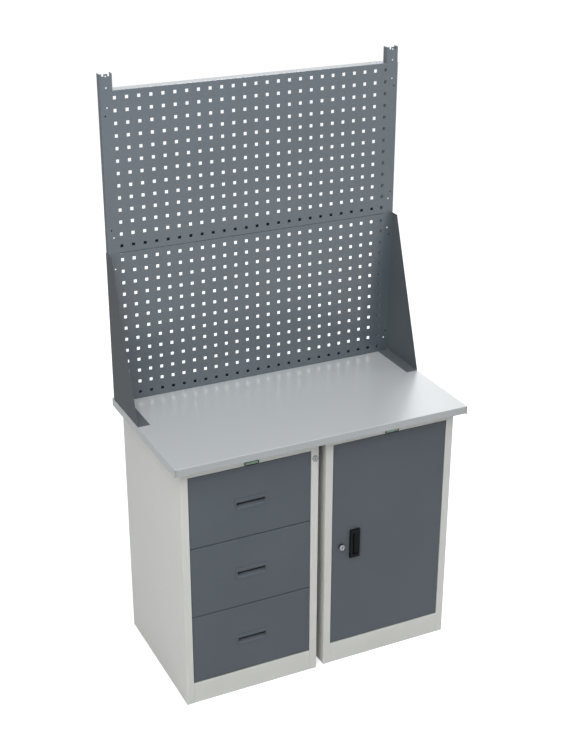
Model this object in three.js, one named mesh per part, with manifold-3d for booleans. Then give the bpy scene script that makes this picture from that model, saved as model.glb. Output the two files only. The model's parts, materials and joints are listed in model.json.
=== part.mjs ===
// Workshop bench: two sheet-steel pedestals under a clad worktop, with a perforated tool wall behind.
// The left pedestal has three drawers on telescopic slides behind one central lock, the right one a
// hinged door with a cam lock. Millimetres, +Z up, origin on the floor below the middle of the worktop,
// front towards -Y.
import * as THREE from 'three';
import Module from 'manifold-3d';
import { mergeGeometries, mergeVertices } from 'three/addons/utils/BufferGeometryUtils.js';

const wasm = await Module();
wasm.setup();

// Sheet thickness of pedestals, drawers, door and panels, and of the heavier wall frame and slides, each
// with the radius on the outside of its bends
const SHEET = 1;
const BEND = 1.5;
const FRAME_SHEET = 1.5;
const FRAME_BEND = 2.5;
const BEND_STEPS = 2;
const PUNCH = 1;
const SLACK = 0.25;
const WELD = 1e-4;

// Flat sides of round pieces and holes
const FACE_SIDES = 18;
const BARREL_SIDES = 12;
const PIN_SIDES = 8;
const HOLE_SIDES = 6;

// Worktop: board with a folded steel cover, hemmed at both ends
const TOP_WIDTH = 1002;
const TOP_DEPTH = 550;
const TOP_HEIGHT = 870;
const COVER_LIP = 24.5;
const COVER_END_LIP = 28;
const COVER_HEM = 3;
const CORNER_SEAM = 1.25;

// Pedestals
const CABINET_WIDTH = 460;
const CABINET_DEPTH = 500;
const CABINET_HEIGHT = 845;
const CABINET_CENTRE = 244.5;
const DRAWER_CABINET_FRONT = -243.5;
const DOOR_CABINET_FRONT = -238.5;
const STILE_WIDTH = 25;
const STILE_RETURN = 16;
const BACK_FLANGE = 15;
const PLINTH_HEIGHT = 74.5;
const PLINTH_FOOT = 20;
const TOP_RAIL_HEIGHT = 29.5;

// Drawer and door fronts: folded pans set back in the opening
const FRONT_GAP = 2;
const FRONT_SETBACK = 2;
const DRAWER_COUNT = 3;
const DRAWER_SPACING = 2.5;
const DRAWER_PAN_DEPTH = 15;
const DOOR_PAN_DEPTH = 18;

// Drawer trays and their three-part slides
const TRAY_HALF_WIDTH = 191;
const TRAY_LENGTH = 450;
const TRAY_HEIGHT = 190;
const TRAY_LIFT = 14;
const SLIDE_LENGTH = 450;
const SLIDE_FRONT = 18;
const SLIDE_OUTER_X = 204;
const SLIDE_STEP = 2.5;
const FIXED_MEMBER = { height: 45, reach: 8 };
const MIDDLE_MEMBER = { height: 38, reach: 7.5 };
const INNER_MEMBER = { height: 30, reach: 7 };
const CARRIER_Y = [45, 475];
const RIM_TAB_X = 200;
const RIM_TAB_Y = [32, 62];

// Recessed drawer pull, measured from the middle of its frame
const PULL_HEIGHT_IN_FRONT = 119;
const PULL_WIDTH = 107;
const PULL_FRAME = [-20, 19];
const PULL_CUP = [-18, 12];
const PULL_CUP_HALF_WIDTH = 50.5;
const PULL_CUP_DEPTH = 13;
const PULL_WALL = 2;

// Central drawer lock, measured from the middle and the front of the pedestal
const LOCK_RADIUS = 8;
const LOCK_FACE_RADIUS = 9;
const LOCK_FACE_PROUD = 2.5;
const LOCK_CLEARANCE = 0.3;
const DRAWER_LOCK_X = 217.5;
const DRAWER_LOCK_Z = 788;
const LOCK_TRAVEL = 12;
const CRANK_THICKNESS = 2;
const CRANK_HALF_HEIGHT = 4;
const CRANK_PIN_RADIUS = 2;
const LOCK_BAR_Y = [24, 26];
const LOCK_BAR_X = [207, 223];
const LOCK_HEAD_X = [197, 227];
const LOCK_HEAD_TOP = 806;
const LOCK_WINDOW_X = [201, 221];
const LOCK_WINDOW_HALF_HEIGHT = 5.5;
const LOCK_TONGUE_HEIGHT = 12;
const LOCK_LIFT = 2;

// Door fittings, from the middle of the pedestal
const HANDLE_X = -122.5;
const HANDLE_Z = 443;
const HANDLE_SIZE = [36, 103];
const HANDLE_BODY = [32, 92];
const HANDLE_PROUD = 8;
const HANDLE_DEPTH = 15;
const HANDLE_ROUND = 3;
const HANDLE_LIP_X = -9;
const HANDLE_END_WALL = 12;
const DOOR_LOCK_X = -169.75;
const DOOR_LOCK_Z = 439;
const DOOR_CAM_REACH = 45;
const DOOR_CAM_HALF_WIDTH = 6;
const DOOR_CAM_Y = [21.5, 23.5];
const STIFFENER_X = [20, 80];
const STIFFENER_INSET = 24;
const HINGE_X = 197.5;
const HINGE_Y = 6;
const HINGE_PIN_RADIUS = 2.5;
const HINGE_PIN_LENGTH = 11;
const SHELF_TOP = 465;
const SHELF_LIP = 25;
const SHELF_Y = [32, 490];
const SHELF_END_GAP = 3;
const SHELF_RAIL_Y = [30, 495];
const SHELF_RAIL_LEDGE = 15;
const SHELF_RAIL_DROP = 30;

// Tool wall: two perforated panels between two channel uprights, with side gussets
const WALL_Y = 234;
const PANEL_WIDTH = 998;
const PANEL_HEIGHT = 500;
const PANEL_SEAM = 0.5;
const PANEL_TOP_FLANGE = 39.5;
const PANEL_FOOT_FLANGE = 26;
const PANEL_FOOT_LIP = 21;
const BEND_RELIEF = 3;
const HOLE_SIZE = 10;
const HOLE_PITCH = 38;
const HOLE_COLUMNS = 25;
const HOLE_ROWS = 13;
const FIXING_RADIUS = 2.75;
const FIXING_X = 479.5;
const FIXING_INSET = 50.5;
const PILOT_X = 486.5;
const PILOT_INSET = 74.5;
const FLANGE_HOLE_X = [411, 436];
const FLANGE_HOLE_Y = 26;
const UPRIGHT_X = [459, 499];
const UPRIGHT_FLANGE = 24;
const UPRIGHT_TOP = 1920;
const UPRIGHT_NOTCH = [6, 7];
const UPRIGHT_NOTCH_X = 9;
const UPRIGHT_TOP_HOLES = [1913, 1879];
const GUSSET_FRONT = 37;
const GUSSET_TOP_FRONT = 206;
const GUSSET_TOP = 1370;
const GUSSET_FLANGE = 40;
const GUSSET_NOSE = 4;
const GUSSET_RELIEF = 6;

// Finishes
const FINISHES = {
  lightGreyPaint: { color: 0xc9cac6, roughness: 0.55, metalness: 0.0 },
  darkGreyPaint: { color: 0x5b626a, roughness: 0.5, metalness: 0.0 },
  panelPaint: { color: 0x747c83, roughness: 0.5, metalness: 0.0 },
  gussetPaint: { color: 0x656c72, roughness: 0.55, metalness: 0.0 },
  zincSteel: { color: 0xb4b8ba, roughness: 0.38, metalness: 0.8 },
  nickel: { color: 0xa9adb0, roughness: 0.3, metalness: 1.0 },
  blackPlastic: { color: 0x1d2022, roughness: 0.45, metalness: 0.0 },
  fibreboard: { color: 0x8b6f4e, roughness: 0.85, metalness: 0.0 },
};

// Solids from corner ranges, from a section carried along an axis, and round bars
const block = ([x0, x1], [y0, y1], [z0, z1]) =>
  new THREE.BoxGeometry(x1 - x0, y1 - y0, z1 - z0)
    .translate((x0 + x1) / 2, (y0 + y1) / 2, (z0 + z1) / 2);

const X = new THREE.Vector3(1, 0, 0);
const Y = new THREE.Vector3(0, 1, 0);
const Z = new THREE.Vector3(0, 0, 1);
const CARRY = {
  x: new THREE.Matrix4().makeBasis(Y, Z, X),
  y: new THREE.Matrix4().makeBasis(Z, X, Y),
  z: new THREE.Matrix4().makeBasis(X, Y, Z),
};

// Section points are (y, z) along x, (z, x) along y and (x, y) along z
function carried(axis, points, [from, to]) {
  const shape = new THREE.Shape(points.map(([u, v]) => new THREE.Vector2(u, v)));
  return new THREE.ExtrudeGeometry(shape, { depth: to - from, bevelEnabled: false })
    .translate(0, 0, from)
    .applyMatrix4(CARRY[axis]);
}

// The section of a bent sheet, from a line of right-angled legs along its outer face with the thickness
// to the left; every corner is rolled round its bend
function folded(line, thickness, bend, steps = BEND_STEPS) {
  const corners = line.map(([u, v]) => new THREE.Vector2(u, v));
  const legs = corners.slice(1).map((corner, i) => corner.clone().sub(corners[i]).normalize());
  const leftOf = (leg) => new THREE.Vector2(-leg.y, leg.x);
  const outer = [corners[0]];
  const inner = [corners[0].clone().addScaledVector(leftOf(legs[0]), thickness)];
  for (let i = 1; i < legs.length; i += 1) {
    const centre = corners[i].clone()
      .addScaledVector(legs[i], bend)
      .addScaledVector(legs[i - 1], -bend);
    for (let step = 0; step <= steps; step += 1) {
      const angle = ((step / steps) * Math.PI) / 2;
      const spoke = leftOf(legs[i - 1]).negate().rotateAround(new THREE.Vector2(), angle);
      outer.push(centre.clone().addScaledVector(spoke, bend));
      inner.push(centre.clone().addScaledVector(spoke, bend - thickness));
    }
  }
  outer.push(corners.at(-1));
  inner.push(corners.at(-1).clone().addScaledVector(leftOf(legs.at(-1)), thickness));
  return [...outer, ...inner.reverse()].map(({ x, y }) => [x, y]);
}

function rodY(x, z, radius, [from, to], sides = BARREL_SIDES) {
  return new THREE.CylinderGeometry(radius, radius, to - from, sides)
    .translate(x, (from + to) / 2, z);
}

function rodZ(x, y, radius, [from, to], sides = PIN_SIDES) {
  return new THREE.CylinderGeometry(radius, radius, to - from, sides)
    .rotateX(Math.PI / 2)
    .translate(x, y, (from + to) / 2);
}

// Booleans
function solid(geometry) {
  const bare = geometry.clone();
  bare.deleteAttribute('normal');
  bare.deleteAttribute('uv');
  const merged = mergeVertices(bare, WELD);
  return new wasm.Manifold(new wasm.Mesh({
    numProp: 3,
    vertProperties: new Float32Array(merged.attributes.position.array),
    triVerts: new Uint32Array(merged.index.array),
  }));
}

const joined = (geometries) => geometries.map(solid).reduce((whole, piece) => whole.add(piece));

const cutBy = (body, cutters) => cutters.reduce((left, cutter) => left.subtract(solid(cutter)), body);

// A box with rolled front edges: what an upright and a level prism with rolled front corners share
function rolledBox([x0, x1], depth, [z0, z1], radius) {
  const upright = carried('z', rolledFront([x0, x1], depth, radius), [z0, z1]);
  const level = rolledFront([z0, z1], depth, radius).map(([z, y]) => [y, z]);
  return solid(upright).intersect(solid(carried('x', level, [x0, x1])));
}

function rolledFront([from, to], [front, rear], radius) {
  const near = Array.from({ length: BEND_STEPS + 1 }, (_, step) => {
    const angle = ((step / BEND_STEPS) * Math.PI) / 2;
    return [from + radius * (1 - Math.cos(angle)), front + radius * (1 - Math.sin(angle))];
  });
  const far = near.map(([across, depth]) => [from + to - across, depth]).reverse();
  return [[from, rear], ...near, ...far, [to, rear]];
}

function surface(body) {
  const { vertProperties, triVerts } = body.getMesh();
  const geometry = new THREE.BufferGeometry();
  geometry.setAttribute('position', new THREE.BufferAttribute(vertProperties, 3));
  geometry.setIndex(new THREE.BufferAttribute(triVerts, 1));
  geometry.computeVertexNormals();
  return geometry;
}

function piece(name, geometry, finish) {
  const mesh = new THREE.Mesh(geometry, new THREE.MeshStandardMaterial(FINISHES[finish]));
  mesh.name = name;
  return mesh;
}

const mirrored = (points, side) => points.map(([x, other]) => [side * x, other]);
const ordered = (a, b) => [Math.min(a, b), Math.max(a, b)];
const half = (width) => [-width / 2, width / 2];
const about = (centre, width) => [centre - width / 2, centre + width / 2];
const sided = (points, side) => points.map(([other, x]) => [other, side * x]);
const SIDES = [['left', -1], ['right', 1]];

// Heights shared by the fronts
const OPENING_HALF = CABINET_WIDTH / 2 - STILE_WIDTH;
const OPENING_TOP = CABINET_HEIGHT - TOP_RAIL_HEIGHT;
const FRONT_HALF = OPENING_HALF - FRONT_GAP;
const WALL_INSIDE = CABINET_WIDTH / 2 - SHEET;
const FRONT_SPAN = OPENING_TOP - PLINTH_HEIGHT - 2 * FRONT_GAP;
const DRAWER_FRONT_HEIGHT = (FRONT_SPAN - (DRAWER_COUNT - 1) * DRAWER_SPACING) / DRAWER_COUNT;

// Pedestal body: each side is folded into the front stile and a rear flange
function cabinetSide(name, side, lockHole) {
  const outer = CABINET_WIDTH / 2;
  const section = folded([
    [OPENING_HALF, STILE_RETURN],
    [OPENING_HALF, 0],
    [outer, 0],
    [outer, CABINET_DEPTH],
    [outer - BACK_FLANGE, CABINET_DEPTH],
  ], SHEET, BEND);
  const wall = carried('z', mirrored(section, side), [0, CABINET_HEIGHT]);
  if (!lockHole) {
    return piece(name, wall, 'lightGreyPaint');
  }
  const through = [-PUNCH, SHEET + PUNCH];
  const bore = rodY(DRAWER_LOCK_X, DRAWER_LOCK_Z, LOCK_RADIUS + LOCK_CLEARANCE, through);
  return piece(name, surface(cutBy(solid(wall), [bore])), 'lightGreyPaint');
}

// A front rail folded from a level sheet, which is notched behind the stile returns
function railedSheet(name, [low, high], returnDepth) {
  const behindReturn = STILE_RETURN + SHEET / 2;
  const rail = carried('x', folded([
    [behindReturn + SHEET, high],
    [0, high],
    [0, low],
    [returnDepth, low],
  ], SHEET, BEND), [-OPENING_HALF, OPENING_HALF]);
  const sheet = block(
    half(2 * (WALL_INSIDE - SLACK)),
    [behindReturn, CABINET_DEPTH - 2 * SHEET],
    [high - SHEET, high],
  );
  return piece(name, surface(joined([rail, sheet])), 'lightGreyPaint');
}

function cabinet(prefix, centreX, frontY, lockHole) {
  const group = new THREE.Group();
  group.position.set(centreX, frontY, 0);
  for (const [word, side] of SIDES) {
    group.add(cabinetSide(`${prefix}_${word}_side`, side, lockHole && side > 0));
  }
  const back = block(
    half(CABINET_WIDTH - 2 * BEND),
    [CABINET_DEPTH - 2 * SHEET, CABINET_DEPTH - SHEET],
    [0, CABINET_HEIGHT],
  );
  group.add(piece(`${prefix}_back`, back, 'lightGreyPaint'));
  group.add(railedSheet(`${prefix}_base`, [0, PLINTH_HEIGHT], PLINTH_FOOT));
  group.add(railedSheet(`${prefix}_top`, [OPENING_TOP, CABINET_HEIGHT], STILE_RETURN));
  return group;
}

// A front folded on all four edges into a shallow pan, open behind
function frontPan(halfWidth, [z0, z1], depth) {
  const [face, rear] = [FRONT_SETBACK, FRONT_SETBACK + depth];
  const outside = rolledBox(half(2 * halfWidth), [face, rear], [z0, z1], BEND);
  const inside = rolledBox(
    half(2 * (halfWidth - SHEET)),
    [face + SHEET, rear + PUNCH],
    [z0 + SHEET, z1 - SHEET],
    BEND - SHEET,
  );
  return outside.subtract(inside);
}

// Drawers
function drawerFront(name, z0) {
  const pullZ = z0 + PULL_HEIGHT_IN_FRONT;
  const window = block(
    half(2 * (PULL_CUP_HALF_WIDTH + SLACK)),
    [FRONT_SETBACK - PUNCH, FRONT_SETBACK + SHEET + PUNCH],
    [pullZ + PULL_CUP[0] - SLACK, pullZ + PULL_CUP[1] + SLACK],
  );
  const pan = frontPan(FRONT_HALF, [z0, z0 + DRAWER_FRONT_HEIGHT], DRAWER_PAN_DEPTH);
  return piece(name, surface(cutBy(pan, [window])), 'darkGreyPaint');
}

// A pull: thin frame round a scoop that is undercut behind its upper lip
function drawerPull(name, z0) {
  const z = z0 + PULL_HEIGHT_IN_FRONT;
  const face = FRONT_SETBACK;
  const back = face + PULL_CUP_DEPTH;
  const frameZ = PULL_FRAME.map((edge) => z + edge);
  const cupZ = PULL_CUP.map((edge) => z + edge);
  const frame = rolledBox(half(PULL_WIDTH), [face - SHEET, face], frameZ, SHEET / 2);
  const cup = block(half(2 * PULL_CUP_HALF_WIDTH), [face - SHEET / 2, back], cupZ);
  const lipBack = face + PULL_WALL;
  const deepest = back - PULL_WALL;
  const floor = cupZ[0] + PULL_WALL;
  const roof = cupZ[1] - PULL_WALL;
  const lip = roof - 2 * PULL_WALL;
  const scoop = carried('x', [
    [face - SHEET - PUNCH, floor],
    [face - SHEET - PUNCH, lip],
    [lipBack, lip],
    [lipBack, roof],
    [deepest, roof],
    [deepest, lip - PULL_WALL],
    [face + SHEET, floor],
  ], half(2 * (PULL_CUP_HALF_WIDTH - PULL_WALL)));
  return piece(name, surface(cutBy(frame.add(solid(cup)), [scoop])), 'darkGreyPaint');
}

// A tray with a tab turned out of each side rim; the lock bar blocks the front end of the right-hand tab
function drawerTray(name, z0) {
  const front = FRONT_SETBACK + DRAWER_PAN_DEPTH;
  const rear = front + TRAY_LENGTH;
  const [bottom, rim] = [z0 + TRAY_LIFT, z0 + TRAY_LIFT + TRAY_HEIGHT];
  const outer = block(half(2 * TRAY_HALF_WIDTH), [front, rear], [bottom, rim]);
  const tabs = block(half(2 * RIM_TAB_X), RIM_TAB_Y, [rim - SHEET, rim]);
  const inside = block(
    half(2 * (TRAY_HALF_WIDTH - SHEET)),
    [front + SHEET, rear - SHEET],
    [bottom + SHEET, rim + PUNCH],
  );
  return piece(name, surface(cutBy(joined([outer, tabs]), [inside])), 'lightGreyPaint');
}

// Nested channels: web at webX, flanges reaching towards the next member
function slideMember(name, side, webX, inward, { height, reach }, z) {
  const tipX = webX + inward * reach;
  const start = (-inward * height) / 2;
  const line = [[start, tipX], [start, webX], [-start, webX], [-start, tipX]];
  const section = folded(line, FRAME_SHEET, FRAME_BEND, 1).map(([dz, x]) => [z + dz, side * x]);
  return piece(name, carried('y', section, [SLIDE_FRONT, SLIDE_FRONT + SLIDE_LENGTH]), 'zincSteel');
}

function drawerSlides(prefix, z0) {
  const z = z0 + TRAY_LIFT + TRAY_HEIGHT / 2;
  return SIDES.flatMap(([word, side]) => [
    slideMember(`${prefix}_slide_fixed_${word}`, side, SLIDE_OUTER_X, -1, FIXED_MEMBER, z),
    slideMember(`${prefix}_slide_middle_${word}`, side, SLIDE_OUTER_X - SLIDE_STEP, -1, MIDDLE_MEMBER, z),
    slideMember(`${prefix}_slide_inner_${word}`, side, TRAY_HALF_WIDTH, 1, INNER_MEMBER, z),
  ]);
}

// Folded carriers bring the slides inside the stiles
function slideCarrier(name, side) {
  const [front, rear] = CARRIER_Y;
  const section = folded([
    [WALL_INSIDE, rear],
    [SLIDE_OUTER_X, rear],
    [SLIDE_OUTER_X, front],
    [WALL_INSIDE, front],
  ], SHEET, BEND);
  const heights = [PLINTH_HEIGHT, CABINET_HEIGHT - SHEET];
  return piece(name, carried('z', mirrored(section, side), heights), 'zincSteel');
}

const drawerBottom = (index) =>
  OPENING_TOP - FRONT_GAP - DRAWER_FRONT_HEIGHT - index * (DRAWER_FRONT_HEIGHT + DRAWER_SPACING);

const tongueFoot = (index) => drawerBottom(index) + TRAY_LIFT + TRAY_HEIGHT + LOCK_LIFT;

// Lock plug: turned face and barrel, with a crank arm behind and a pin in the bar's window
function drawerLockPlug() {
  const crankRear = LOCK_BAR_Y[0] - SHEET;
  const crankY = [crankRear - CRANK_THICKNESS, crankRear];
  const [x, z] = [DRAWER_LOCK_X, DRAWER_LOCK_Z];
  const pinX = x - LOCK_TRAVEL;
  const crankX = [pinX - 1.5 * CRANK_PIN_RADIUS, x + 2 * CRANK_PIN_RADIUS];
  return piece('drawer_lock_plug', surface(joined([
    rodY(x, z, LOCK_FACE_RADIUS, [-LOCK_FACE_PROUD, -LOCK_CLEARANCE], FACE_SIDES),
    rodY(x, z, LOCK_RADIUS, [-SHEET, crankRear - SHEET]),
    block(crankX, crankY, about(z, 2 * CRANK_HALF_HEIGHT)),
    rodY(pinX, z, CRANK_PIN_RADIUS, [crankRear - SHEET, LOCK_BAR_Y[1] + SHEET], PIN_SIDES),
  ])), 'nickel');
}

// Lock bar: a flat strip with a windowed head, whose foot is the first tongue, and one more tongue above
// the rim tab of each lower drawer
function drawerLockBar() {
  const [tongueX, headX] = LOCK_HEAD_X;
  const [stripX0, stripX1] = LOCK_BAR_X;
  const headFoot = tongueFoot(0);
  const outline = [[LOCK_HEAD_TOP, tongueX], [headFoot, tongueX], [headFoot, stripX0]];
  for (let i = 1; i < DRAWER_COUNT; i += 1) {
    const foot = tongueFoot(i);
    const lowest = i === DRAWER_COUNT - 1;
    outline.push([foot + LOCK_TONGUE_HEIGHT, stripX0]);
    outline.push([foot + LOCK_TONGUE_HEIGHT, tongueX]);
    outline.push([foot, tongueX]);
    outline.push([foot, lowest ? stripX1 : stripX0]);
  }
  outline.push([headFoot, stripX1], [headFoot, headX], [LOCK_HEAD_TOP, headX]);
  const strip = solid(carried('y', outline, LOCK_BAR_Y));
  const window = block(
    LOCK_WINDOW_X,
    [LOCK_BAR_Y[0] - PUNCH, LOCK_BAR_Y[1] + PUNCH],
    about(DRAWER_LOCK_Z, 2 * LOCK_WINDOW_HALF_HEIGHT),
  );
  return piece('drawer_lock_bar', surface(cutBy(strip, [window])), 'zincSteel');
}

function drawerUnit() {
  const group = cabinet('drawer_cabinet', -CABINET_CENTRE, DRAWER_CABINET_FRONT, true);
  for (const [word, side] of SIDES) {
    group.add(slideCarrier(`slide_carrier_${word}`, side));
  }
  for (let i = 0; i < DRAWER_COUNT; i += 1) {
    const prefix = `drawer_${i + 1}`;
    const z0 = drawerBottom(i);
    group.add(drawerFront(`${prefix}_front`, z0));
    group.add(drawerPull(`${prefix}_pull`, z0));
    group.add(drawerTray(`${prefix}_tray`, z0));
    group.add(...drawerSlides(prefix, z0));
  }
  group.add(drawerLockPlug());
  group.add(drawerLockBar());
  return group;
}

// Door
const DOOR_Z = [PLINTH_HEIGHT + FRONT_GAP, OPENING_TOP - FRONT_GAP];

function doorPanel() {
  const through = [FRONT_SETBACK - PUNCH, FRONT_SETBACK + SHEET + PUNCH];
  const [handleWidth, handleHeight] = HANDLE_BODY.map((size) => size + 2 * SLACK);
  const boreRadius = HINGE_PIN_RADIUS + LOCK_CLEARANCE;
  const cutters = [
    block(about(HANDLE_X, handleWidth), through, about(HANDLE_Z, handleHeight)),
    rodY(DOOR_LOCK_X, DOOR_LOCK_Z, LOCK_RADIUS + LOCK_CLEARANCE, through),
    ...DOOR_Z.map((edge) => rodZ(HINGE_X, HINGE_Y, boreRadius, about(edge, 2 * (SHEET + PUNCH)))),
  ];
  const pan = frontPan(FRONT_HALF, DOOR_Z, DOOR_PAN_DEPTH);
  return piece('door_panel', surface(cutBy(pan, cutters)), 'darkGreyPaint');
}

// A channel welded upright inside the door
function doorStiffener() {
  const [x0, x1] = STIFFENER_X;
  const [face, web] = [FRONT_SETBACK + SHEET, FRONT_SETBACK + DOOR_PAN_DEPTH - SHEET];
  const section = folded([[x1, face], [x1, web], [x0, web], [x0, face]], SHEET, BEND);
  const heights = [DOOR_Z[0] + STIFFENER_INSET, DOOR_Z[1] - STIFFENER_INSET];
  return piece('door_stiffener', carried('z', section, heights), 'darkGreyPaint');
}

// Flush handle: raised surround with rolled edges, and a scoop that runs back under the lock-side rim
function doorHandle() {
  const face = FRONT_SETBACK;
  const rim = face - HANDLE_PROUD;
  const floor = face + HANDLE_DEPTH - PULL_WALL;
  const [width, height] = HANDLE_SIZE;
  const [bodyWidth, bodyHeight] = HANDLE_BODY;
  const surround = rolledBox(about(HANDLE_X, width), [rim, face], about(HANDLE_Z, height), HANDLE_ROUND);
  const body = block(
    about(HANDLE_X, bodyWidth),
    [face - SHEET, face + HANDLE_DEPTH],
    about(HANDLE_Z, bodyHeight),
  );
  const deepX = -bodyWidth / 2 + PULL_WALL;
  const farX = bodyWidth / 2 - PULL_WALL / 2;
  const section = [
    [HANDLE_LIP_X, rim - PUNCH],
    [farX, rim - PUNCH],
    [farX, rim + PULL_WALL],
    [HANDLE_LIP_X + HANDLE_ROUND, floor],
    [deepX, floor],
    [deepX, face],
    [HANDLE_LIP_X, rim + 2 * PULL_WALL],
  ].map(([x, y]) => [HANDLE_X + x, y]);
  const scoop = carried('z', section, about(HANDLE_Z, height - 2 * HANDLE_END_WALL));
  return piece('door_handle', surface(cutBy(surround.add(solid(body)), [scoop])), 'blackPlastic');
}

// Lock plug with a long cam behind the door, upright when unlocked
function doorLockPlug() {
  const [x, z] = [DOOR_LOCK_X, DOOR_LOCK_Z];
  const faceY = [FRONT_SETBACK - SHEET - LOCK_FACE_PROUD, FRONT_SETBACK - LOCK_CLEARANCE];
  const barrelY = [FRONT_SETBACK - SHEET, DOOR_CAM_Y[0] + SHEET];
  return piece('door_lock_plug', surface(joined([
    rodY(x, z, LOCK_FACE_RADIUS, faceY, FACE_SIDES),
    rodY(x, z, LOCK_RADIUS, barrelY),
    block(about(x, 2 * DOOR_CAM_HALF_WIDTH), DOOR_CAM_Y, [z - DOOR_CAM_HALF_WIDTH, z + DOOR_CAM_REACH]),
  ])), 'nickel');
}

function hingePin(name, z) {
  return piece(name, rodZ(HINGE_X, HINGE_Y, HINGE_PIN_RADIUS, z), 'zincSteel');
}

function shelf() {
  const [front, rear] = SHELF_Y;
  const lip = SHELF_TOP - SHELF_LIP;
  const section = folded([[rear, lip], [rear, SHELF_TOP], [front, SHELF_TOP], [front, lip]], SHEET, BEND);
  return piece('shelf', carried('x', section, half(2 * (WALL_INSIDE - SHELF_END_GAP))), 'lightGreyPaint');
}

function shelfRail(name, side) {
  const top = SHELF_TOP - SHELF_LIP;
  const section = folded([
    [top, WALL_INSIDE - SHELF_RAIL_LEDGE],
    [top, WALL_INSIDE],
    [top - SHELF_RAIL_DROP, WALL_INSIDE],
  ], SHEET, BEND);
  return piece(name, carried('y', sided(section, side), SHELF_RAIL_Y), 'lightGreyPaint');
}

function doorUnit() {
  const group = cabinet('door_cabinet', CABINET_CENTRE, DOOR_CABINET_FRONT, false);
  group.add(doorPanel());
  group.add(doorStiffener());
  group.add(doorHandle());
  group.add(doorLockPlug());
  group.add(hingePin('hinge_pin_lower', [PLINTH_HEIGHT, PLINTH_HEIGHT + HINGE_PIN_LENGTH]));
  group.add(hingePin('hinge_pin_upper', [OPENING_TOP - HINGE_PIN_LENGTH, OPENING_TOP]));
  group.add(shelf());
  for (const [word, side] of SIDES) {
    group.add(shelfRail(`shelf_rail_${word}`, side));
  }
  return group;
}

// Worktop: the cover is folded down in front and behind, and hemmed at both ends; a seam is left open
// where the lips meet at the corners
function worktop() {
  const group = new THREE.Group();
  const [w, d] = [TOP_WIDTH / 2, TOP_DEPTH / 2];
  const under = TOP_HEIGHT - SHEET;
  const boardHalf = w - COVER_HEM - CORNER_SEAM;
  const lip = TOP_HEIGHT - COVER_LIP;
  const hemFoot = TOP_HEIGHT - COVER_END_LIP + COVER_HEM / 2;
  const channel = folded([[d, lip], [d, TOP_HEIGHT], [-d, TOP_HEIGHT], [-d, lip]], SHEET, BEND);
  const ends = SIDES.flatMap(([, side]) => {
    const skirt = folded([[TOP_HEIGHT, boardHalf - SLACK], [TOP_HEIGHT, w], [hemFoot, w]], SHEET, BEND);
    const hemRoll = new THREE.CylinderGeometry(COVER_HEM / 2, COVER_HEM / 2, TOP_DEPTH, PIN_SIDES);
    return [
      carried('y', sided(skirt, side), [-d, d]),
      block(ordered(side * w, side * (w - COVER_HEM)), [-d, d], [hemFoot, TOP_HEIGHT - BEND]),
      hemRoll.translate(side * (w - COVER_HEM / 2), 0, hemFoot),
    ];
  });
  const core = block(half(2 * (w - COVER_HEM)), half(2 * (d - BEND)), [under, TOP_HEIGHT]);
  const cover = joined([carried('x', channel, half(2 * boardHalf)), core, ...ends]);
  const board = block(
    half(2 * boardHalf),
    half(TOP_DEPTH - 2 * BEND),
    [CABINET_HEIGHT, under],
  );
  group.add(piece('worktop_board', board, 'fibreboard'));
  group.add(piece('worktop_cover', surface(cover), 'zincSteel'));
  return group;
}

// Tool wall
function upright(name, side) {
  const [x0, x1] = UPRIGHT_X;
  const [front, rear] = [WALL_Y + SHEET, WALL_Y + SHEET + UPRIGHT_FLANGE];
  const section = folded([[x0, rear], [x0, front], [x1, front], [x1, rear]], FRAME_SHEET, FRAME_BEND);
  const through = [front - PUNCH, front + FRAME_SHEET + PUNCH];
  const [notchWidth, notchDepth] = UPRIGHT_NOTCH;
  const notches = [-1, 1].map((way) => block(
    about(side * FIXING_X + way * UPRIGHT_NOTCH_X, notchWidth),
    through,
    [UPRIGHT_TOP - notchDepth, UPRIGHT_TOP + PUNCH],
  ));
  const holes = [...UPRIGHT_TOP_HOLES, ...panelFeet().flatMap(fixingHeights)];
  const bores = holes.map((z) => rodY(side * FIXING_X, z, FIXING_RADIUS, through, HOLE_SIDES));
  const channel = solid(carried('z', mirrored(section, side), [TOP_HEIGHT, UPRIGHT_TOP]));
  return piece(name, surface(cutBy(channel, [...notches, ...bores])), 'panelPaint');
}

function panelFeet() {
  const lower = TOP_HEIGHT + PANEL_SEAM;
  return [lower, lower + PANEL_HEIGHT + PANEL_SEAM];
}

const mirroredHeights = (foot, inset) => [foot + inset, foot + PANEL_HEIGHT - inset];
const fixingHeights = (foot) => mirroredHeights(foot, FIXING_INSET);

// Punches for the square perforation on its regular pitch, for the round fixing and pilot holes in the
// side margins and for two holes near the right end of the top flange
function panelPunches(foot) {
  const through = [WALL_Y - PUNCH, WALL_Y + SHEET + PUNCH];
  const punches = [];
  const column0 = (-(HOLE_COLUMNS - 1) * HOLE_PITCH) / 2;
  const row0 = foot + (PANEL_HEIGHT - (HOLE_ROWS - 1) * HOLE_PITCH) / 2;
  for (let column = 0; column < HOLE_COLUMNS; column += 1) {
    for (let row = 0; row < HOLE_ROWS; row += 1) {
      const [x, z] = [column0 + column * HOLE_PITCH, row0 + row * HOLE_PITCH];
      punches.push(block(about(x, HOLE_SIZE), through, about(z, HOLE_SIZE)));
    }
  }
  for (const side of [-1, 1]) {
    for (const z of fixingHeights(foot)) {
      punches.push(rodY(side * FIXING_X, z, FIXING_RADIUS, through, HOLE_SIDES));
    }
    for (const z of mirroredHeights(foot, PILOT_INSET)) {
      punches.push(rodY(side * PILOT_X, z, FIXING_RADIUS, through, HOLE_SIDES));
    }
  }
  const flange = about(foot + PANEL_HEIGHT, 2 * (SHEET + PUNCH));
  for (const x of FLANGE_HOLE_X) {
    punches.push(rodZ(x, WALL_Y + FLANGE_HOLE_Y, FIXING_RADIUS, flange, HOLE_SIDES));
  }
  return mergeGeometries(punches);
}

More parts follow.
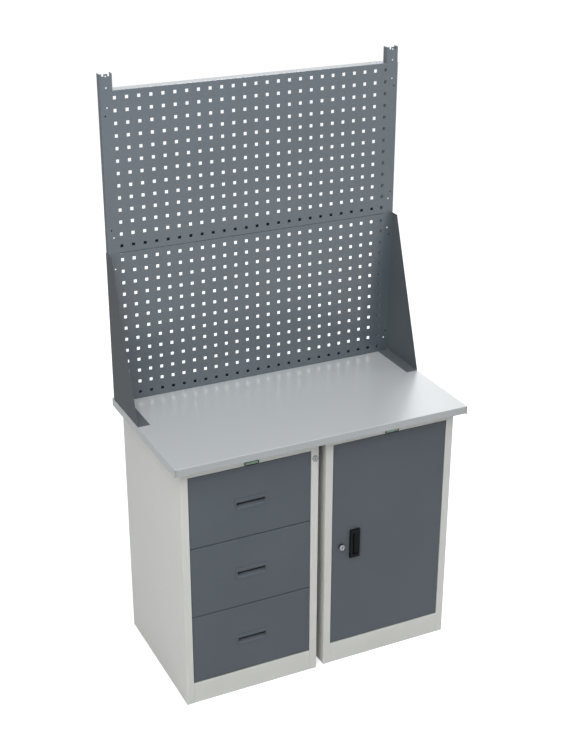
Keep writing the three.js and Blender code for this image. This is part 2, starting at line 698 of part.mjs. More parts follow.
// A perforated sheet folded back along its upper edge and into a channel along its lower one; the flat side
// margins are relieved where the folds end
function perforatedPanel(name, foot) {
  const head = foot + PANEL_HEIGHT;
  const edge = PANEL_WIDTH / 2;
  const fold = UPRIGHT_X[0];
  const relief = fold + BEND_RELIEF;
  const footRear = WALL_Y + PANEL_FOOT_FLANGE;
  const section = folded([
    [WALL_Y + PANEL_TOP_FLANGE, head],
    [WALL_Y, head],
    [WALL_Y, foot],
    [footRear, foot],
    [footRear, foot + PANEL_FOOT_LIP],
  ], SHEET, BEND);
  const outline = [
    [foot + BEND_RELIEF, fold - HOLE_SIZE],
    [head - BEND_RELIEF, fold - HOLE_SIZE],
    [head - BEND_RELIEF, relief],
    [head, relief],
    [head, edge],
    [foot, edge],
    [foot, relief],
    [foot + BEND_RELIEF, relief],
  ];
  const margins = SIDES.map(([, side]) => carried('y', sided(outline, side), [WALL_Y, WALL_Y + SHEET]));
  const sheet = joined([carried('x', section, [-fold, fold]), ...margins]);
  return piece(name, surface(cutBy(sheet, [panelPunches(foot)])), 'panelPaint');
}

// Gusset: a tapered plate against the upright's outer flange, folded in along the worktop, with the fold
// relieved where it meets the wall
function gusset(name, side) {
  const inner = UPRIGHT_X[1];
  const outer = inner + FRAME_SHEET;
  const rear = WALL_Y + SHEET + UPRIGHT_FLANGE;
  const foldEnd = WALL_Y - SHEET;
  const nose = TOP_HEIGHT + GUSSET_NOSE;
  const plate = carried('x', [
    [GUSSET_FRONT, TOP_HEIGHT + FRAME_BEND],
    [foldEnd, TOP_HEIGHT + FRAME_BEND],
    [foldEnd, nose],
    [foldEnd + GUSSET_RELIEF, nose],
    [foldEnd + GUSSET_RELIEF, TOP_HEIGHT],
    [rear, TOP_HEIGHT],
    [rear, GUSSET_TOP],
    [GUSSET_TOP_FRONT, GUSSET_TOP],
    [GUSSET_FRONT, nose],
  ], ordered(side * inner, side * outer));
  const foot = folded([
    [nose, outer],
    [TOP_HEIGHT, outer],
    [TOP_HEIGHT, outer - GUSSET_FLANGE],
  ], FRAME_SHEET, FRAME_BEND);
  const flange = carried('y', sided(foot, side), [GUSSET_FRONT, foldEnd]);
  return piece(name, surface(joined([plate, flange])), 'gussetPaint');
}

function toolWall() {
  const group = new THREE.Group();
  const [lowerFoot, upperFoot] = panelFeet();
  group.add(perforatedPanel('panel_lower', lowerFoot));
  group.add(perforatedPanel('panel_upper', upperFoot));
  for (const [word, side] of SIDES) {
    group.add(upright(`upright_${word}`, side));
    group.add(gusset(`gusset_${word}`, side));
  }
  return group;
}

const bench = new THREE.Group();
bench.add(drawerUnit(), doorUnit(), worktop(), toolWall());

export default bench;
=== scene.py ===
"""Looks of a workshop bench: powder-coated pedestals, a zinc-clad worktop and a perforated tool wall.

The bench stands on the floor with its front towards -Y. Lengths are metres, and small sizes are given
in millimetres times MM.
"""
import json
import math

import bmesh
import bpy
from mathutils import Matrix, Vector


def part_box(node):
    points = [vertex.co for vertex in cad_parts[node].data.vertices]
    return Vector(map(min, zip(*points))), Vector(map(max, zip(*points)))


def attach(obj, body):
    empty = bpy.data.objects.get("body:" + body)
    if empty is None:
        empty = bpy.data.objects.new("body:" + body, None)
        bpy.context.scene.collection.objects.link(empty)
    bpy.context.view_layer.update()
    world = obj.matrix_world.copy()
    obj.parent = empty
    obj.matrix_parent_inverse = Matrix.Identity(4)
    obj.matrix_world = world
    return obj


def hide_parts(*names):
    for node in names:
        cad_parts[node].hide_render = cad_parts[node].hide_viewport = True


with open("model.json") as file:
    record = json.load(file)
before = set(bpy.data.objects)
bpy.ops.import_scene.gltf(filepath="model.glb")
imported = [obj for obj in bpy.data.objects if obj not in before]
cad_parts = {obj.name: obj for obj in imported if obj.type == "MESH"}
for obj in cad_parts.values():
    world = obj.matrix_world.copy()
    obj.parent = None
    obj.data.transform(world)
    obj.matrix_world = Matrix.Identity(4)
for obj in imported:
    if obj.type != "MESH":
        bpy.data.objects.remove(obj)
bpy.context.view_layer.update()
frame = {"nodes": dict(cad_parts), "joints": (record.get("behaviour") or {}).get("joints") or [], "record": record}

MM = 0.001
FRONT = (0, -1, 0)

# Camera of the photograph: where it stands, how far it turns right of +Y and how far it looks down
CAMERA_PLACE = (-1.7157, -3.5322, 2.7391)
CAMERA_TURN = math.radians(25.57)
CAMERA_FALL = math.radians(24.31)
CAMERA_LENS = 64.93
CAMERA_SENSOR = 36.0

# Studio: the light of the surroundings, and how white the floor is seen near to the bench and far from it
FLOOR_SIZE = 40.0
WORLD_FILL = 0.12
FLOOR_GLOW = (0.6, 0.93)
FLOOR_GLOW_REACH = (1.2, 4.0)

# Softboxes: name, place, what it points at, width and height, watts
SOFTBOXES = [
    ("key_softbox", (-1.6, -2.2, 3.6), (0.0, 0.0, 0.8), (1.2, 1.2), 50),
    ("top_softbox", (0.0, -0.6, 3.6), (0.0, -0.1, 0.9), (2.4, 1.6), 68),
    ("left_softbox", (-2.8, -2.0, 2.0), (0.0, 0.0, 1.0), (2.0, 2.0), 45),
    ("right_softbox", (3.4, -0.8, 1.8), (0.0, 0.0, 0.9), (2.0, 2.4), 57),
    ("rear_softbox", (1.6, 4.2, 3.0), (0.0, 0.2, 1.2), (3.0, 1.5), 17),
    ("rear_top_softbox", (1.3, 2.1, 4.6), (0.0, 0.0, 1.0), (0.8, 0.8), 46),
]

# Rounded edges of the CAD sheets
FOLD_ROUND = 0.4 * MM
FOLD_ANGLE = math.radians(50)

# Small pieces
ROUND_STEPS = 32
END_ROUNDING = 2.2  # height of a rounded end over its corner radius

# Name plates, with the steps from the rail to the field as (inset in rims, height in thicknesses)
PLATE_SIZE = (50 * MM, 13 * MM)
PLATE_THICKNESS = 2.0 * MM
PLATE_RIM = 2.5 * MM
PLATE_HEIGHT = 822 * MM
PLATE_OFFSET = 2.5 * MM
PLATE_LEVELS = [(0, 0), (0, 0.7), (0.2, 1), (0.85, 1), (1, 0.7), (1.5, 0.9), (2.2, 1)]

# Lock faces: from the collar over the bezel to the core as (radius, height), and the keyway in the core
COLLAR_RADIUS = 9.9 * MM
BEZEL_RADIUS = 9.2 * MM
CORE_RADIUS = 7.0 * MM
LOCK_PROFILE = [
    (COLLAR_RADIUS, 0.8 * MM),
    (BEZEL_RADIUS, 1.8 * MM),
    (BEZEL_RADIUS - 0.7 * MM, 2.2 * MM),
    (CORE_RADIUS + 0.4 * MM, 2.1 * MM),
    (CORE_RADIUS, 1.5 * MM),
]
KEYWAY_SIZE = (2.0 * MM, 9.0 * MM)
KEYWAY_HEIGHT = 1.7 * MM
KEYWAY_DEPTH = 0.8 * MM
LOCK_CLEARANCE = 0.2 * MM
DOOR_LOCK_STAND = 3.0 * MM

# Rivets and inserts, as (share of the radius, height in mm)
RIVET_RADIUS = 3.2 * MM
RIVET_PROFILE = [(1, 0), (1, 0.2), (0.8, 0.7), (0.42, 0.9), (0.38, 0.1)]
INSERT_RADIUS = 2.6 * MM
INSERT_PROFILE = [(1, 0), (1, 0.5), (0.85, 0.6), (0.7, 0.5), (0.68, 0.1)]
INSERT_GAP = 0.1 * MM

# Drawer pulls: how far the frame stands proud, its middle below the CAD pull's top, and its corners
PULL_PROUD = 1.0 * MM
PULL_TOP = 19.0 * MM
PULL_CORNER = 1.2 * MM

# Outlines of a drawer pull from its frame into the slot, in mm from its middle: width, foot, head, height
# above the drawer's face, and the material of the strip that leads there, where 1 is a darker paint as
# painted shade deep in the slot
PULL_LEVELS = [
    (107.0, -19.5, 19.0, 0.0, 0),
    (107.0, -19.5, 19.0, 1.2, 0),
    (106.0, -19.0, 18.5, 1.8, 0),
    (98.6, -16.8, 6.8, 1.8, 0),
    (97.4, -16.2, 6.2, 1.4, 0),
    (97.0, -16.0, 6.0, 0.8, 0),
    (97.0, -11.0, 6.0, -3.2, 0),
    (97.0, -11.0, 10.0, -3.4, 0),
    (97.0, -6.0, 10.0, -8.2, 0),
    (97.0, -6.0, 10.0, -11.8, 1),
]

# Section of the door handle's finger slope: across from the handle's middle, and depth below its rim, mm
SLOPE_SECTION = [(15, 1.2), (12, 2.0), (8, 2.8), (4, 3.4), (0, 4.2), (-2, 5.2), (-3, 7), (-3.2, 10),
                 (-3.2, 18.3), (15, 2.3)]
SLOPE_HALF = 39.3 * MM

# Threaded inserts in the pilot holes of the tool panels: |x| and heights
INSERT_X = 486.5 * MM
INSERT_HEIGHTS = [0.945, 1.296, 1.4455, 1.7965]

# Blind rivets in the drawer pedestal's walls, as (y, z)
WALL_RIVETS = [(0.239, 0.725), (0.238, 0.407), (0.203, 0.306), (-0.039, 0.308)]


# Materials

def linear(hex_colour):
    """A colour written as sRGB hex, as linear RGBA."""
    values = [int(hex_colour[i:i + 2], 16) / 255 for i in (1, 3, 5)]
    bent = [v / 12.92 if v <= 0.04045 else ((v + 0.055) / 1.055) ** 2.4 for v in values]
    return (*bent, 1.0)


def per_mm(size_mm):
    """Texture scale that gives one feature every size_mm, for coordinates in metres."""
    return 1000.0 / size_mm


def add_node(tree, kind, settings=None, **inputs):
    """Adds a node, sets its properties, and sets or links its inputs, which are called by their names with
    _ for spaces, or by i and their number."""
    made = tree.nodes.new(kind)
    for key, value in (settings or {}).items():
        setattr(made, key, value)
    for key, value in inputs.items():
        numbered = key[0] == "i" and key[1:].isdigit()
        socket = made.inputs[int(key[1:]) if numbered else key.replace("_", " ")]
        if isinstance(value, bpy.types.NodeSocket):
            tree.links.new(value, socket)
        else:
            socket.default_value = value
    return made


def new_material(name):
    """An empty node material, its node tree, and object coordinates to draw patterns with."""
    material = bpy.data.materials.new(name)
    material.use_nodes = True
    tree = material.node_tree
    tree.nodes.clear()
    place = add_node(tree, "ShaderNodeTexCoord").outputs["Object"]
    return material, tree, place


def powder_coated_steel(name, shade, deep_shade, roughness, gloss):
    """Steel sheet under a sprayed and baked polyester powder: an even satin film with a fine orange
    peel, a little darker where it lies thicker."""
    material, tree, place = new_material(name)
    film = add_node(tree, "ShaderNodeTexNoise", Vector=place, Scale=per_mm(260), Detail=2.0)
    grit = add_node(tree, "ShaderNodeTexNoise", Vector=place, Scale=per_mm(1.4), Detail=3.0)
    blend = add_node(tree, "ShaderNodeMath", {"operation": "MULTIPLY_ADD"},
                     i0=grit.outputs["Fac"], i1=0.3, i2=film.outputs["Fac"])
    colour = add_node(tree, "ShaderNodeValToRGB", Fac=blend.outputs["Value"])
    colour.color_ramp.elements[0].position = 0.4
    colour.color_ramp.elements[0].color = linear(deep_shade)
    colour.color_ramp.elements[1].position = 0.9
    colour.color_ramp.elements[1].color = linear(shade)
    handled = add_node(tree, "ShaderNodeMapRange", Value=film.outputs["Fac"],
                       To_Min=roughness - 0.05, To_Max=roughness + 0.05)
    # Orange peel of a powder coat is some 2 to 3 mm across
    peel = add_node(tree, "ShaderNodeTexNoise", Vector=place, Scale=per_mm(2.6), Detail=1.0)
    bump = add_node(tree, "ShaderNodeBump", Strength=0.06, Distance=0.2 * MM, Height=peel.outputs["Fac"])
    surface = add_node(tree, "ShaderNodeBsdfPrincipled", Base_Color=colour.outputs["Color"],
                       Roughness=handled.outputs["Result"], Specular_IOR_Level=gloss,
                       Normal=bump.outputs["Normal"])
    add_node(tree, "ShaderNodeOutputMaterial", Surface=surface.outputs["BSDF"])
    return material


def zinc_coated_sheet():
    """Cold-rolled steel dipped in zinc and skin-passed: a pale dull grey with faint crystals and fine lines
    along the rolling direction. The level surface is worn smooth by use and sealed with a clear film, so that it
    blurs what stands close to it and shines towards the light. Its colour is painted lighter than the lips', as
    painted light on the upward face."""
    material, tree, place = new_material("zinc_coated_sheet_skin_passed")
    spangle = add_node(tree, "ShaderNodeTexVoronoi", Vector=place, Scale=per_mm(9))
    stretch = add_node(tree, "ShaderNodeMapping", Vector=place, Scale=(0.03, 1.0, 1.0))
    rolled = add_node(tree, "ShaderNodeTexNoise", Vector=stretch.outputs["Vector"], Scale=per_mm(3),
                      Detail=3.0)
    cloud = add_node(tree, "ShaderNodeTexNoise", Vector=place, Scale=per_mm(180), Detail=3.0)
    crystals = add_node(tree, "ShaderNodeSeparateColor", Color=spangle.outputs["Color"])
    facet = add_node(tree, "ShaderNodeNewGeometry")
    tilt = add_node(tree, "ShaderNodeSeparateXYZ", Vector=facet.outputs["Normal"])
    # Mask of the upward face: it smooths and seals the level surface, and also lightens its colour as painted
    # light
    rubbed_and_painted_light = add_node(tree, "ShaderNodeMapRange", Value=tilt.outputs["Z"], From_Min=0.9, From_Max=0.99)
    grain = add_node(tree, "ShaderNodeMath", {"operation": "MULTIPLY_ADD"},
                     i0=crystals.outputs["Red"], i1=0.12, i2=cloud.outputs["Fac"])
    # Crystals and clouds, lifted on the upward face as painted light
    tone = add_node(tree, "ShaderNodeMath", {"operation": "MULTIPLY_ADD"},
                    i0=grain.outputs["Value"], i1=0.25, i2=rubbed_and_painted_light.outputs["Result"])
    colour = add_node(tree, "ShaderNodeValToRGB", Fac=tone.outputs["Value"])
    # The first two stops grade the lips, and the last one is the level surface, painted lighter as painted light
    # on the upward face
    for stop, (position, shade) in enumerate([(0.05, "#9A9EA0"), (0.25, "#A3A7A9"), (1.0, "#A9ADAF")]):
        if stop > 1:
            colour.color_ramp.elements.new(1.0)
        colour.color_ramp.elements[stop].position = position
        colour.color_ramp.elements[stop].color = linear(shade)
    dull = add_node(tree, "ShaderNodeMapRange", Value=rubbed_and_painted_light.outputs["Result"], To_Min=0.45, To_Max=0.5)
    streak = add_node(tree, "ShaderNodeMath", {"operation": "MULTIPLY_ADD"},
                      i0=rolled.outputs["Fac"], i1=0.05, i2=dull.outputs["Result"])
    surface = add_node(tree, "ShaderNodeBsdfPrincipled", Base_Color=colour.outputs["Color"],
                       Metallic=0.3, Roughness=streak.outputs["Value"],
                       Coat_Weight=rubbed_and_painted_light.outputs["Result"], Coat_Roughness=0.28, Coat_IOR=1.7)
    add_node(tree, "ShaderNodeOutputMaterial", Surface=surface.outputs["BSDF"])
    return material


def bright_zinc_plate():
    """Steel strip, roll-formed and zinc-plated: bright, slightly blue, drawn in long lines."""
    material, tree, place = new_material("bright_zinc_plate_roll_formed")
    stretch = add_node(tree, "ShaderNodeMapping", Vector=place, Scale=(1.0, 0.02, 1.0))
    drawn = add_node(tree, "ShaderNodeTexNoise", Vector=stretch.outputs["Vector"], Scale=per_mm(1.5),
                     Detail=3.0)
    colour = add_node(tree, "ShaderNodeValToRGB", Fac=drawn.outputs["Fac"])
    colour.color_ramp.elements[0].color = linear("#A9AEB3")
    colour.color_ramp.elements[1].color = linear("#C6CACD")
    dull = add_node(tree, "ShaderNodeMapRange", Value=drawn.outputs["Fac"], To_Min=0.28, To_Max=0.42)
    surface = add_node(tree, "ShaderNodeBsdfPrincipled", Base_Color=colour.outputs["Color"],
                       Metallic=1.0, Roughness=dull.outputs["Result"])
    add_node(tree, "ShaderNodeOutputMaterial", Surface=surface.outputs["BSDF"])
    return material


def satin_nickel():
    """Turned brass under a nickel plating: a cool grey metal, finely mottled by keys and fingers."""
    material, tree, place = new_material("satin_nickel_turned_and_plated")
    rub = add_node(tree, "ShaderNodeTexNoise", Vector=place, Scale=per_mm(0.9), Detail=4.0)
    colour = add_node(tree, "ShaderNodeValToRGB", Fac=rub.outputs["Fac"])
    colour.color_ramp.elements[0].color = linear("#75797B")
    colour.color_ramp.elements[1].color = linear("#8F9395")
    dull = add_node(tree, "ShaderNodeMapRange", Value=rub.outputs["Fac"], To_Min=0.2, To_Max=0.34)
    surface = add_node(tree, "ShaderNodeBsdfPrincipled", Base_Color=colour.outputs["Color"],
                       Metallic=1.0, Roughness=dull.outputs["Result"])
    add_node(tree, "ShaderNodeOutputMaterial", Surface=surface.outputs["BSDF"])
    return material


def black_polyamide():
    """Glass-filled polyamide, moulded in a spark-eroded tool: near black with a fine leathery grain."""
    material, tree, place = new_material("black_polyamide_moulded")
    grain = add_node(tree, "ShaderNodeTexVoronoi", Vector=place, Scale=per_mm(0.8))
    colour = add_node(tree, "ShaderNodeValToRGB", Fac=grain.outputs["Distance"])
    colour.color_ramp.elements[0].color = linear("#0A0C0E")
    colour.color_ramp.elements[1].color = linear("#101315")
    dull = add_node(tree, "ShaderNodeMapRange", Value=grain.outputs["Distance"], To_Min=0.36, To_Max=0.5)
    bump = add_node(tree, "ShaderNodeBump", Strength=0.2, Distance=0.05 * MM,
                    Height=grain.outputs["Distance"])
    surface = add_node(tree, "ShaderNodeBsdfPrincipled", Base_Color=colour.outputs["Color"],
                       Roughness=dull.outputs["Result"], Specular_IOR_Level=0.08,
                       Normal=bump.outputs["Normal"])
    add_node(tree, "ShaderNodeOutputMaterial", Surface=surface.outputs["BSDF"])
    return material


def raw_fibreboard():
    """Pressed wood fibre, sawn and left raw: matt grey with short pale and dark fibres."""
    material, tree, place = new_material("raw_fibreboard_pressed")
    fibre = add_node(tree, "ShaderNodeTexNoise", Vector=place, Scale=per_mm(2), Detail=6.0)
    colour = add_node(tree, "ShaderNodeValToRGB", Fac=fibre.outputs["Fac"])
    colour.color_ramp.elements[0].position = 0.3
    colour.color_ramp.elements[0].color = linear("#6B6A68")
    colour.color_ramp.elements[1].position = 0.7
    colour.color_ramp.elements[1].color = linear("#8A8987")
    bump = add_node(tree, "ShaderNodeBump", Strength=0.3, Distance=0.2 * MM, Height=fibre.outputs["Fac"])
    surface = add_node(tree, "ShaderNodeBsdfPrincipled", Base_Color=colour.outputs["Color"],
                       Roughness=0.85, Normal=bump.outputs["Normal"])
    add_node(tree, "ShaderNodeOutputMaterial", Surface=surface.outputs["BSDF"])
    return material


def green_enamel():
    """Stamped aluminium filled with a baked enamel: a quiet grey green, glossy, paler where it ran thin."""
    material, tree, place = new_material("green_enamel_on_aluminium")
    pooled = add_node(tree, "ShaderNodeTexNoise", Vector=place, Scale=per_mm(7), Detail=2.0)
    colour = add_node(tree, "ShaderNodeValToRGB", Fac=pooled.outputs["Fac"])
    colour.color_ramp.elements[0].color = linear("#55775F")
    colour.color_ramp.elements[1].color = linear("#93B39C")
    surface = add_node(tree, "ShaderNodeBsdfPrincipled", Base_Color=colour.outputs["Color"],
                       Roughness=0.3)
    add_node(tree, "ShaderNodeOutputMaterial", Surface=surface.outputs["BSDF"])
    return material


LIGHT_GREY = powder_coated_steel("light_grey_powder_coat", "#D0D1CD", "#CBCCC8", 0.5, 0.3)
DARK_GREY = powder_coated_steel("dark_grey_powder_coat", "#565D64", "#51585E", 0.5, 0.2)
PANEL_GREY = powder_coated_steel("panel_grey_powder_coat", "#525A61", "#4D565D", 0.3, 0.7)
UPRIGHT_GREY = powder_coated_steel("upright_grey_powder_coat", "#60676D", "#5B6268", 0.55, 0.15)
# The tool wall's paint made darker and duller as painted shade: for the gussets and the deepest strip of the
# pulls' slots
PAINTED_SHADE_GREY = powder_coated_steel("powder_coat_darkened_as_painted_shade", "#4F5459", "#4A5054", 0.6, 0.1)
ZINC_SHEET = zinc_coated_sheet()
ZINC_PLATE = bright_zinc_plate()
NICKEL = satin_nickel()
BLACK_PLASTIC = black_polyamide()
FIBREBOARD = raw_fibreboard()
GREEN_ENAMEL = green_enamel()

FINISHES = {
    "light_grey_paint": LIGHT_GREY,
    "dark_grey_paint": DARK_GREY,
    "panel_paint": PANEL_GREY,
    "gusset_paint": PAINTED_SHADE_GREY,
    "zinc_steel": ZINC_PLATE,
    "nickel": NICKEL,
    "black_plastic": BLACK_PLASTIC,
    "fibreboard": FIBREBOARD,
}

# Nodes whose surface differs from the rest of their slot
OWN_FINISHES = {"worktop_cover": ZINC_SHEET, "upright_left": UPRIGHT_GREY, "upright_right": UPRIGHT_GREY}


def dress_frame():
    """Each CAD node takes its finish, and its folds get a small round. The perforated panels stay crisp."""
    for part in frame["record"]["subparts"]:
        node = frame["nodes"][part["node"]]
        node.data.materials.clear()
        node.data.materials.append(OWN_FINISHES.get(part["node"], FINISHES[part["material_slot"]]))
        if not part["node"].startswith("panel_"):
            soft = node.modifiers.new("soft_edges", "BEVEL")
            soft.width = FOLD_ROUND
            soft.segments = 2
            soft.limit_method = "ANGLE"
            soft.angle_limit = FOLD_ANGLE


# Small pieces in mesh code

def finished(name, mesh, materials, body):
    """Turns a bmesh into a piece that rides on a body."""
    bmesh.ops.recalc_face_normals(mesh, faces=mesh.faces)
    data = bpy.data.meshes.new(name)
    mesh.to_mesh(data)
    mesh.free()
    for material in materials:
        data.materials.append(material)
    piece = bpy.data.objects.new(name, data)
    bpy.context.scene.collection.objects.link(piece)
    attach(piece, body)
    return piece


def ring(mesh, points):
    """The vertices of an outline."""
    return [mesh.verts.new(p) for p in points]


def bridge(mesh, lower, upper, material=0):
    """Quads between two closed rings of as many points."""
    count = len(lower)
    for i in range(count):
        j = (i + 1) % count
        face = mesh.faces.new((lower[i], lower[j], upper[j], upper[i]))
        face.material_index = material


def circle(mesh, at, radius, height):
    """A ring of points about the axis of at."""
    angles = [2 * math.pi * (k + 0.5) / ROUND_STEPS for k in range(ROUND_STEPS)]
    return ring(mesh, [at @ Vector((radius * math.cos(a), radius * math.sin(a), height)) for a in angles])


def turned(mesh, profile, at):
    """A turned body from (radius, height) points, closed at both ends, with its last face in the second
    material."""
    rings = [circle(mesh, at, radius, height) for radius, height in profile]
    for lower, upper in zip(rings, rings[1:]):
        bridge(mesh, lower, upper)
    mesh.faces.new(rings[0])
    mesh.faces.new(rings[-1]).material_index = 1


def rounded_outline(width, height, radius, steps=6):
    """Points of a rectangle with round corners, about the origin."""
    points = []
    for corner, (sx, sy) in enumerate([(1, 1), (-1, 1), (-1, -1), (1, -1)]):
        centre = (sx * (width / 2 - radius), sy * (height / 2 - radius))
        for k in range(steps + 1):
            angle = math.pi / 2 * (corner + k / steps)
            points.append((centre[0] + radius * math.cos(angle), centre[1] + radius * math.sin(angle)))
    return points


def facing(place, normal):
    """Matrix that puts a piece made about +Z at a place, with +Z along normal."""
    turn = Vector((0, 0, 1)).rotation_difference(Vector(normal)).to_matrix().to_4x4()
    return Matrix.Translation(place) @ turn


def name_plate(name, place):
    """A blank plate on a top rail: black rim round a domed enamel field."""
    mesh = bmesh.new()
    at = facing(place, FRONT)
    width, height = PLATE_SIZE
    rings = []
    for inset, rise in PLATE_LEVELS:
        shrink = 2 * inset * PLATE_RIM
        outline = rounded_outline(width - shrink, height - shrink, (height - shrink) / END_ROUNDING)
        rings.append(ring(mesh, [at @ Vector((x, y, rise * PLATE_THICKNESS)) for x, y in outline]))
    for (lower, upper), (inset, _) in zip(zip(rings, rings[1:]), PLATE_LEVELS):
        bridge(mesh, lower, upper, int(inset >= 1))
    mesh.faces.new(rings[0])
    mesh.faces.new(rings[-1]).material_index = 1
    finished(name, mesh, [BLACK_PLASTIC, GREEN_ENAMEL], "bench")


def drawer_pull(number):
    """A pressed pull: beaded frame, and a finger slope that ends below a slot under the upper lip. The slot's
    deepest strip and its back are in a darker paint, as painted shade.
    """
    node = f"drawer_{number}_pull"
    low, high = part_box(node)
    middle = Vector(((low.x + high.x) / 2, low.y + PULL_PROUD, high.z - PULL_TOP))
    at = facing(middle, FRONT)
    mesh = bmesh.new()
    rings = []
    for width, foot, head, rise, _ in PULL_LEVELS:
        outline = rounded_outline(width * MM, (head - foot) * MM, PULL_CORNER)
        rings.append(ring(mesh, [at @ Vector((x, y + (head + foot) / 2 * MM, rise * MM))
                                 for x, y in outline]))
    for lower, upper, level in zip(rings, rings[1:], PULL_LEVELS[1:]):
        bridge(mesh, lower, upper, level[-1])
    # The slot's back in the darker paint, as painted shade
    mesh.faces.new(rings[-1]).material_index = 1
    pull = finished(f"drawer_{number}_pressed_pull", mesh, [DARK_GREY, PAINTED_SHADE_GREY], f"drawer_{number}")
    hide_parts(node)


def handle_slope():
    """The finger slope of the door handle: it falls from the hinge side to a narrow dark slot at the lock
    side."""
    low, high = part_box("door_handle")
    x, z = (low.x + high.x) / 2, (low.z + high.z) / 2
    mesh = bmesh.new()
    ends = [ring(mesh, [Vector((x + across * MM, low.y + depth * MM, z + side * SLOPE_HALF))
                        for across, depth in SLOPE_SECTION]) for side in (-1, 1)]
    bridge(mesh, *ends)
    for end in ends:
        mesh.faces.new(end)
    finished("door_handle_finger_slope", mesh, [BLACK_PLASTIC], "door")


def lock_face(name, place, rise, body, collar, stand):
    """Face of a cam lock that stands off its plug: a collar down to the sheet, a rounded bezel, a sunk core
    disc and an upright keyway, whose walls and floor are black as painted shade."""
    mesh = bmesh.new()
    at = facing(place, FRONT) @ Matrix.Translation((0, 0, stand))
    rise += stand
    rings = [circle(mesh, at, COLLAR_RADIUS, -rise)]
    rings += [circle(mesh, at, radius, height) for radius, height in LOCK_PROFILE]
    keyway = rounded_outline(*KEYWAY_SIZE, KEYWAY_SIZE[0] / END_ROUNDING, steps=ROUND_STEPS // 4 - 1)
    for height in (KEYWAY_HEIGHT, KEYWAY_HEIGHT - KEYWAY_DEPTH):
        rings.append(ring(mesh, [at @ Vector((x, y, height)) for x, y in keyway]))
    # The keyway's walls and floor are black plastic, as painted shade
    strip_materials = [1] + [0] * len(LOCK_PROFILE) + [2]
    for lower, upper, material in zip(rings, rings[1:], strip_materials):
        bridge(mesh, lower, upper, material)
    mesh.faces.new(rings[0])
    mesh.faces.new(rings[-1]).material_index = 2
    finished(name, mesh, [NICKEL, collar, BLACK_PLASTIC], body)


def blind_rivet(name, place, normal):
    """A painted blind rivet: low domed flange with a sunk mandrel hole, whose floor is black as painted shade of
    its depth.
    """
    mesh = bmesh.new()
    turned(mesh, [(share * RIVET_RADIUS, height * MM) for share, height in RIVET_PROFILE],
           facing(place, normal))
    finished(name, mesh, [LIGHT_GREY, BLACK_PLASTIC], "bench")


def threaded_insert(name, place):
    """An insert pressed into a pilot hole: narrow rim round a blind bore, all in black, which stands in for the
    shade of a deep hole.
    """
    mesh = bmesh.new()
    turned(mesh, [(share * INSERT_RADIUS, height * MM) for share, height in INSERT_PROFILE],
           facing(place, FRONT))
    finished(name, mesh, [BLACK_PLASTIC, BLACK_PLASTIC], "bench")


def plates_and_locks():
    """A blank plate on each top rail, and a face on each lock plug."""
    for word, sheet, collar, stand in (("drawer", "drawer_cabinet_right_side", NICKEL, 0.0),
                                       ("door", "door_panel", BLACK_PLASTIC, DOOR_LOCK_STAND)):
        low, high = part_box(f"{word}_cabinet_top")
        name_plate(f"{word}_cabinet_plate",
                   Vector(((low.x + high.x) / 2 + PLATE_OFFSET, low.y, PLATE_HEIGHT)))
        joint = next(j for j in frame["joints"] if j["name"] == f"{word}_lock_turn")
        x, _, z = joint["pos_m"]
        plug_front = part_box(f"{word}_lock_plug")[0].y
        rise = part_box(sheet)[0].y - plug_front - LOCK_CLEARANCE
        lock_face(f"{word}_lock_face", Vector((x, plug_front, z)), rise, f"{word}_lock", collar, stand)


def rivets_and_inserts():
    """Rivets in the drawer pedestal's walls, and inserts in the tool panels' pilot holes."""
    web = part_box("upright_left")[0].y
    for wall, way in (("left_side", -1), ("right_side", 1)):
        low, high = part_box(f"drawer_cabinet_{wall}")
        x = low.x if way < 0 else high.x
        for count, (y, z) in enumerate(WALL_RIVETS, 1):
            blind_rivet(f"{wall}_rivet_{count}", Vector((x, y, z)), (way, 0, 0))
        for count, z in enumerate(INSERT_HEIGHTS, 1):
            threaded_insert(f"{wall}_insert_{count}", Vector((way * INSERT_X, web - INSERT_GAP, z)))


# Studio

def studio_floor():
    """A pale floor that reads white to the eye and to gloss, and keeps the shadow round the bench."""
    mesh = bmesh.new()
    reach = FLOOR_SIZE / 2
    corners = [(-reach, -reach, 0), (reach, -reach, 0), (reach, reach, 0), (-reach, reach, 0)]
    mesh.faces.new(ring(mesh, corners))
    data = bpy.data.meshes.new("studio_floor")
    mesh.to_mesh(data)
    mesh.free()
    floor = bpy.data.objects.new("studio_floor", data)
    bpy.context.scene.collection.objects.link(floor)
    material, tree, place = new_material("matt_white_backdrop_paint")
    tone = add_node(tree, "ShaderNodeTexNoise", Vector=place, Scale=per_mm(900))
    colour = add_node(tree, "ShaderNodeValToRGB", Fac=tone.outputs["Fac"])
    colour.color_ramp.elements[0].color = linear("#D6D6D6")
    colour.color_ramp.elements[1].color = linear("#DADADA")
    away = add_node(tree, "ShaderNodeVectorMath", {"operation": "LENGTH"}, i0=place)
    share = add_node(tree, "ShaderNodeMapRange", Value=away.outputs["Value"],
                     From_Min=FLOOR_GLOW_REACH[0], From_Max=FLOOR_GLOW_REACH[1],
                     To_Min=FLOOR_GLOW[0], To_Max=FLOOR_GLOW[1])
    glow = add_node(tree, "ShaderNodeMath", {"operation": "MULTIPLY"}, i0=seen_rays(tree),
                    i1=share.outputs["Result"])
    surface = add_node(tree, "ShaderNodeBsdfPrincipled", Base_Color=colour.outputs["Color"],
                       Roughness=0.9, Specular_IOR_Level=0.0, Emission_Color=(1, 1, 1, 1),
                       Emission_Strength=glow.outputs["Value"])
    add_node(tree, "ShaderNodeOutputMaterial", Surface=surface.outputs["BSDF"])
    data.materials.append(material)


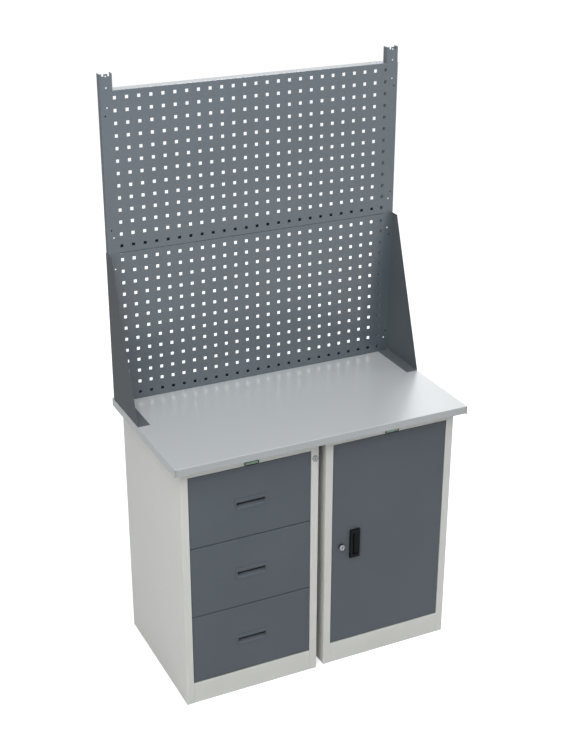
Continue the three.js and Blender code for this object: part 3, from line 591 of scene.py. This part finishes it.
def seen_rays(tree):
    """1 for camera, glossy and transmission rays, 0 for light on the object."""
    path = add_node(tree, "ShaderNodeLightPath")
    direct = add_node(tree, "ShaderNodeMath", {"operation": "MAXIMUM"},
                      i0=path.outputs["Is Camera Ray"], i1=path.outputs["Is Glossy Ray"])
    return add_node(tree, "ShaderNodeMath", {"operation": "MAXIMUM"}, i0=direct.outputs["Value"],
                    i1=path.outputs["Is Transmission Ray"]).outputs["Value"]


def studio_world():
    """White surroundings, dimmer as a light on the object than as seen."""
    world = bpy.data.worlds.new("white_studio")
    bpy.context.scene.world = world
    world.use_nodes = True
    tree = world.node_tree
    tree.nodes.clear()
    strength = add_node(tree, "ShaderNodeMapRange", Value=seen_rays(tree), To_Min=WORLD_FILL, To_Max=1.0)
    sky = add_node(tree, "ShaderNodeBackground", Color=(1, 1, 1, 1), Strength=strength.outputs["Result"])
    add_node(tree, "ShaderNodeOutputWorld", Surface=sky.outputs["Background"])


def softbox(name, place, target, size, power):
    """A rectangular lamp that the camera doesn't see."""
    lamp = bpy.data.lights.new(name, "AREA")
    lamp.shape = "RECTANGLE"
    lamp.size, lamp.size_y = size
    lamp.energy = power
    holder = bpy.data.objects.new(name, lamp)
    holder.location = place
    holder.rotation_mode = "QUATERNION"
    holder.rotation_quaternion = (Vector(target) - Vector(place)).to_track_quat("-Z", "Y")
    holder.visible_camera = False
    bpy.context.scene.collection.objects.link(holder)


def studio_lights():
    """Softboxes all round: the key and top ones shade the pulls. The rear ones light the worktop's right
    end past the tool wall, and the lower one is mirrored at the wall's foot through the lowest holes."""
    for box in SOFTBOXES:
        softbox(*box)


def photo_camera():
    """The camera that took the photograph."""
    lens = bpy.data.cameras.new("photo_camera")
    lens.lens = CAMERA_LENS
    lens.sensor_width = CAMERA_SENSOR
    camera = bpy.data.objects.new("photo_camera", lens)
    camera.location = CAMERA_PLACE
    camera.rotation_euler = (math.pi / 2 - CAMERA_FALL, 0, -CAMERA_TURN)
    bpy.context.scene.collection.objects.link(camera)
    bpy.context.scene.camera = camera


dress_frame()
for drawer_number in (1, 2, 3):
    drawer_pull(drawer_number)
handle_slope()
plates_and_locks()
rivets_and_inserts()
studio_floor()
studio_world()
studio_lights()
photo_camera()
bpy.context.scene.view_settings.view_transform = "Standard"
